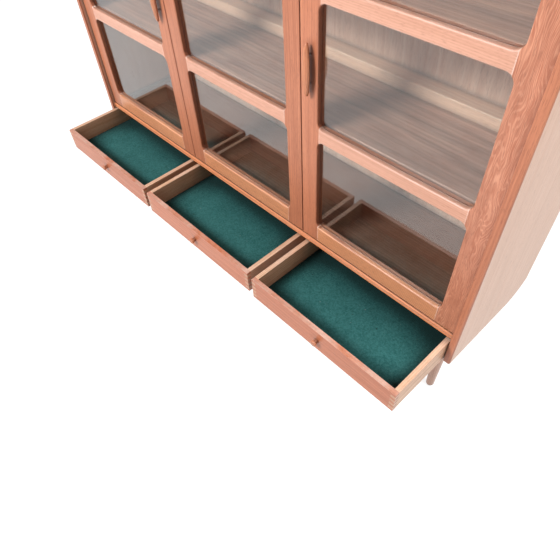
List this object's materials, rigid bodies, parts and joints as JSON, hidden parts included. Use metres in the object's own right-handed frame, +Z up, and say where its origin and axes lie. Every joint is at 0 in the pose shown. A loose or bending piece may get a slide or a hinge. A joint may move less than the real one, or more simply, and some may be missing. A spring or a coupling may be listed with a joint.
{
  "type": "display cabinet",
  "caption": "Glazed wooden display cabinet on turned legs, with hinged glass doors beside a fixed middle frame, shelves, and felt-lined drawers under the case.",
  "frame": {"origin": "on the floor, in the middle of the footprint that the cabinet has with its drawers as pictured", "axes": "+Z up, +X along the front to the right seen from the front, front and drawers towards -Y"},
  "size_m": [1.4, 0.5016, 1.2285],
  "materials": {
    "frame_wood": "oiled cherry, satin",
    "case_veneer": "oiled veneer, satin",
    "pull_wood": "oiled, polished by hand",
    "drawer_wood": "pale hardwood, waxed",
    "hidden_wood": "plain sanded",
    "dark_turned_wood": "dark stained, satin",
    "green_felt": "wool felt",
    "pane_glass": "clear float glass",
    "hinge_brass": "brushed",
    "pin_steel": "polished",
    "glide_plastic": "smooth"
  },
  "bodies": {
    "case": {"side_left": "case_veneer", "side_right": "case_veneer", "top_panel": "case_veneer", "case_floor": "frame_wood", "back_panel": "case_veneer", "shelf_lower": "frame_wood", "shelf_upper": "frame_wood", "plate_rails": "frame_wood", "shelf_pins": "pin_steel", "door_stops": "hidden_wood", "door_catches": "pin_steel", "drawer_dividers": "hidden_wood", "drawer_stops": "hidden_wood", "base_frame": "hidden_wood", "leg_front_left": "dark_turned_wood", "leg_front_right": "dark_turned_wood", "leg_rear_left": "dark_turned_wood", "leg_rear_right": "dark_turned_wood", "leg_glides": "glide_plastic", "hinge_case_leaves": "hinge_brass", "window_stiles": "frame_wood", "window_rails": "frame_wood", "window_panes": "pane_glass", "window_beads": "frame_wood"},
    "door_left": {"door_left_hinge_stile": "frame_wood", "door_left_pull_stile": "frame_wood", "door_left_rails": "frame_wood", "door_left_panes": "pane_glass", "door_left_beads": "frame_wood", "door_left_pull": "pull_wood", "door_left_pull_pins": "pin_steel", "door_left_hinge_leaves": "hinge_brass", "door_left_catch_plates": "pin_steel"},
    "door_right": {"door_right_hinge_stile": "frame_wood", "door_right_pull_stile": "frame_wood", "door_right_rails": "frame_wood", "door_right_panes": "pane_glass", "door_right_beads": "frame_wood", "door_right_pull": "pull_wood", "door_right_pull_pins": "pin_steel", "door_right_hinge_leaves": "hinge_brass", "door_right_catch_plates": "pin_steel"},
    "drawer_left": {"drawer_left_front": "frame_wood", "drawer_left_sides": "drawer_wood", "drawer_left_back": "drawer_wood", "drawer_left_bottom": "drawer_wood", "drawer_left_felt": "green_felt", "drawer_left_knob": "pull_wood"},
    "drawer_middle": {"drawer_middle_front": "frame_wood", "drawer_middle_sides": "drawer_wood", "drawer_middle_back": "drawer_wood", "drawer_middle_bottom": "drawer_wood", "drawer_middle_felt": "green_felt", "drawer_middle_knob": "pull_wood"},
    "drawer_right": {"drawer_right_front": "frame_wood", "drawer_right_sides": "drawer_wood", "drawer_right_back": "drawer_wood", "drawer_right_bottom": "drawer_wood", "drawer_right_felt": "green_felt", "drawer_right_knob": "pull_wood"}
  },
  "joints": [
    {"name": "door_left_hinge", "type": "hinge", "parent": "case", "child": "door_left", "pos_m": [-0.67, -0.03915, 0.76675], "axis": [0, 0, -1], "range_deg": [0, 90]},
    {"name": "door_right_hinge", "type": "hinge", "parent": "case", "child": "door_right", "pos_m": [0.67, -0.03915, 0.76675], "axis": [0, 0, 1], "range_deg": [0, 90]},
    {"name": "drawer_left_slide", "type": "slide", "parent": "case", "child": "drawer_left", "axis": [0, -1, 0], "range_m": [-0.1813, 0.0407]},
    {"name": "drawer_middle_slide", "type": "slide", "parent": "case", "child": "drawer_middle", "axis": [0, -1, 0], "range_m": [-0.1836, 0.0384]},
    {"name": "drawer_right_slide", "type": "slide", "parent": "case", "child": "drawer_right", "axis": [0, -1, 0], "range_m": [-0.1877, 0.0343]}
  ]
}
